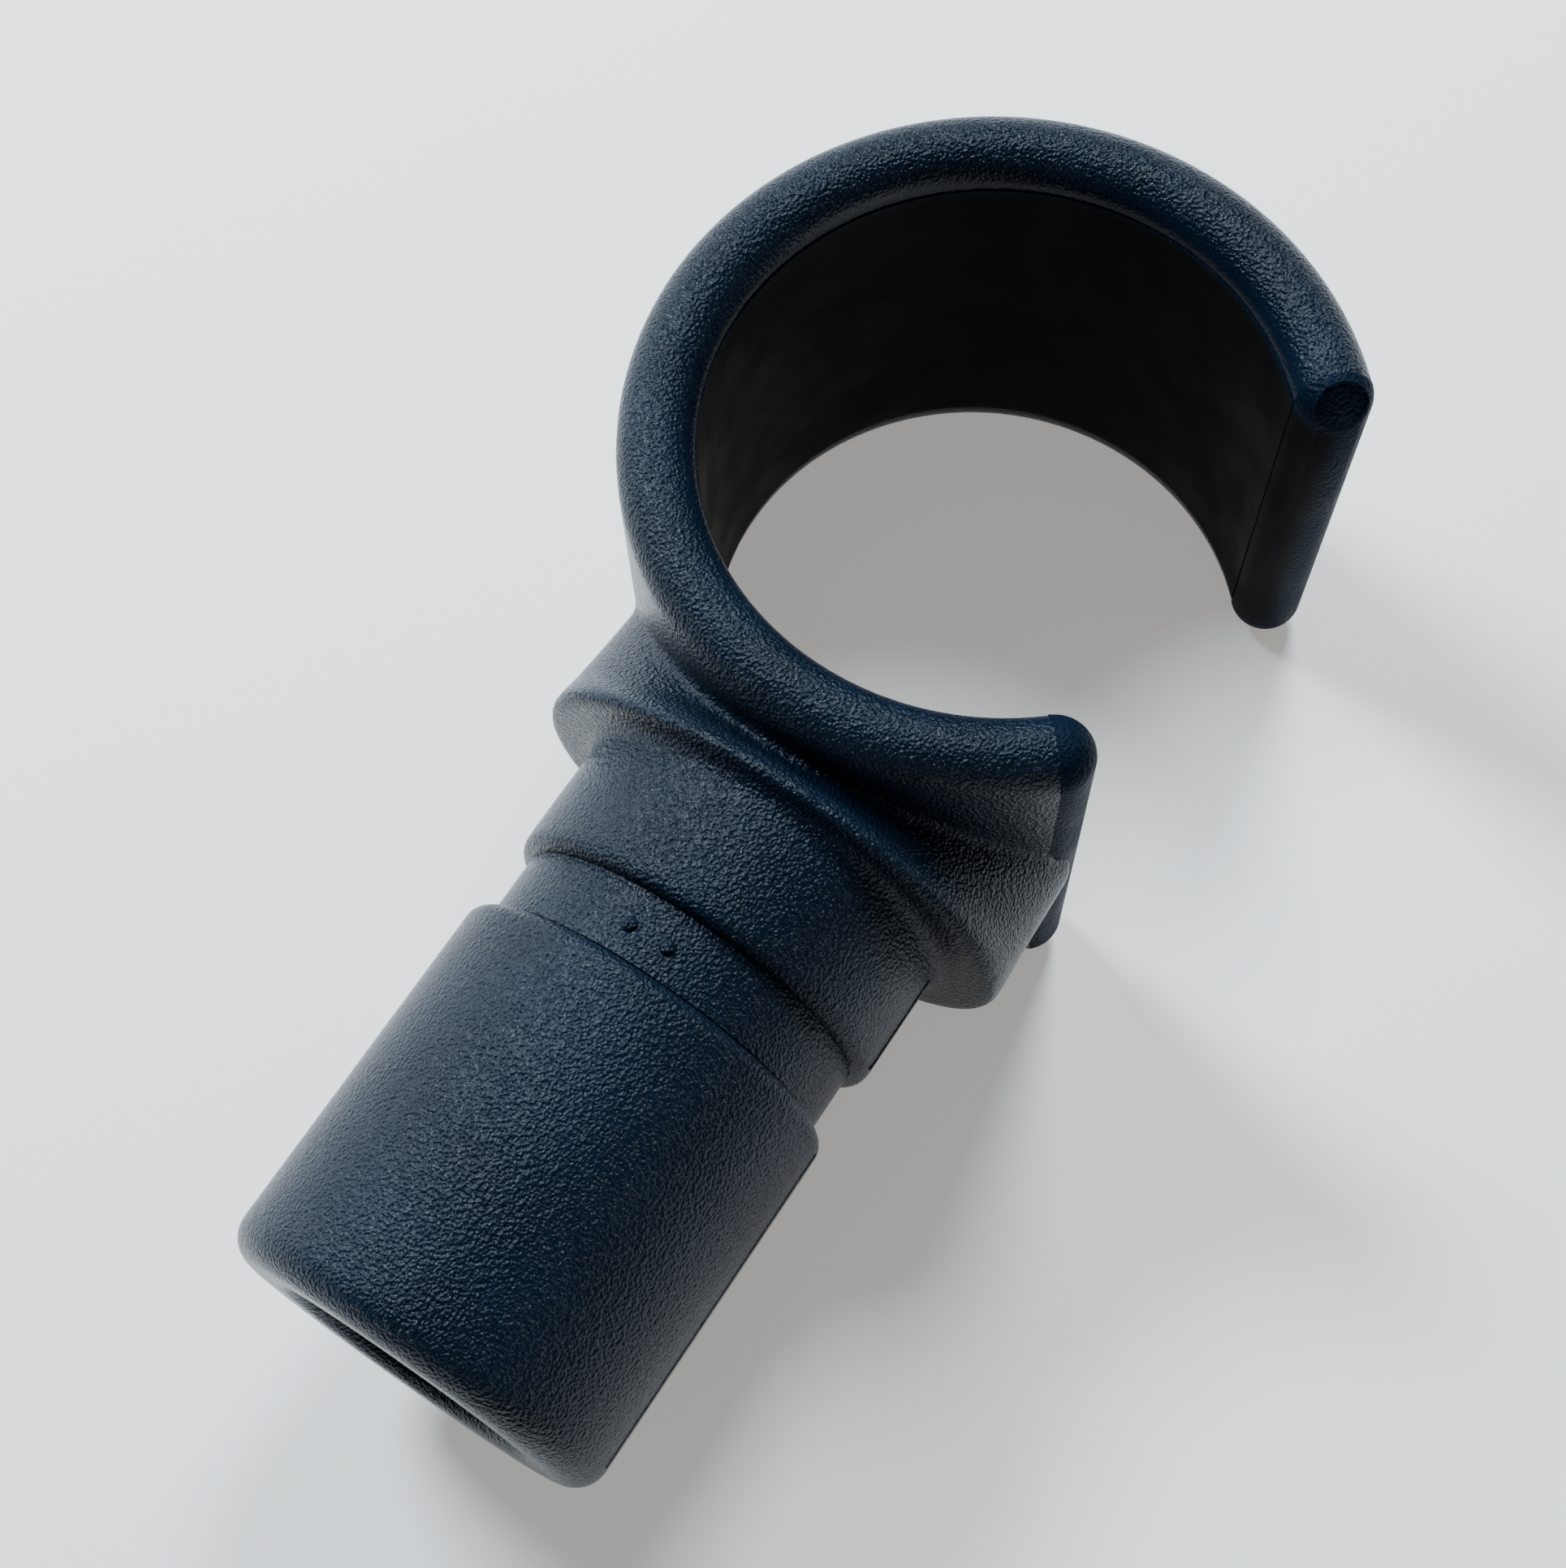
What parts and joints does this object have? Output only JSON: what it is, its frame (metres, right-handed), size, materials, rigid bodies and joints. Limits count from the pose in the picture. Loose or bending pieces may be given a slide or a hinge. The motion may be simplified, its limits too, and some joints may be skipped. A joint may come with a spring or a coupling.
{
  "type": "boom jaw",
  "caption": "Side-opening C-shaped boom jaw with rounded rims, flared web, flange and a swivelling hollow plug for the end of a tube.",
  "frame": {"origin": "centre of the jaw's bore, at the jaw's mid height", "axes": "+Z along the mast bore, -X along the plug away from the jaw, the mouth of the jaw opens towards -Y"},
  "size_m": [0.1216, 0.0569, 0.0454],
  "materials": {
    "grained_nylon": "fine spark-eroded grain, satin",
    "liner_plastic": "smooth, satin",
    "bearing_plastic": "smooth, natural",
    "stainless": "turned",
    "insert_brass": "turned"
  },
  "bodies": {
    "jaw_body": {"jaw": "grained_nylon", "mast_liner": "liner_plastic", "spigot": "grained_nylon", "thread_insert": "insert_brass", "swivel_bolt": "stainless", "lock_washer": "stainless", "retaining_washer": "stainless"},
    "plug_body": {"plug_sleeve": "grained_nylon", "sleeve_bush": "bearing_plastic", "thrust_ring": "bearing_plastic"}
  },
  "joints": [
    {"name": "plug_swivel", "type": "hinge", "parent": "jaw_body", "child": "plug_body", "pos_m": [-0.0618, 0, 0], "axis": [-1, 0, 0], "continuous": true}
  ]
}
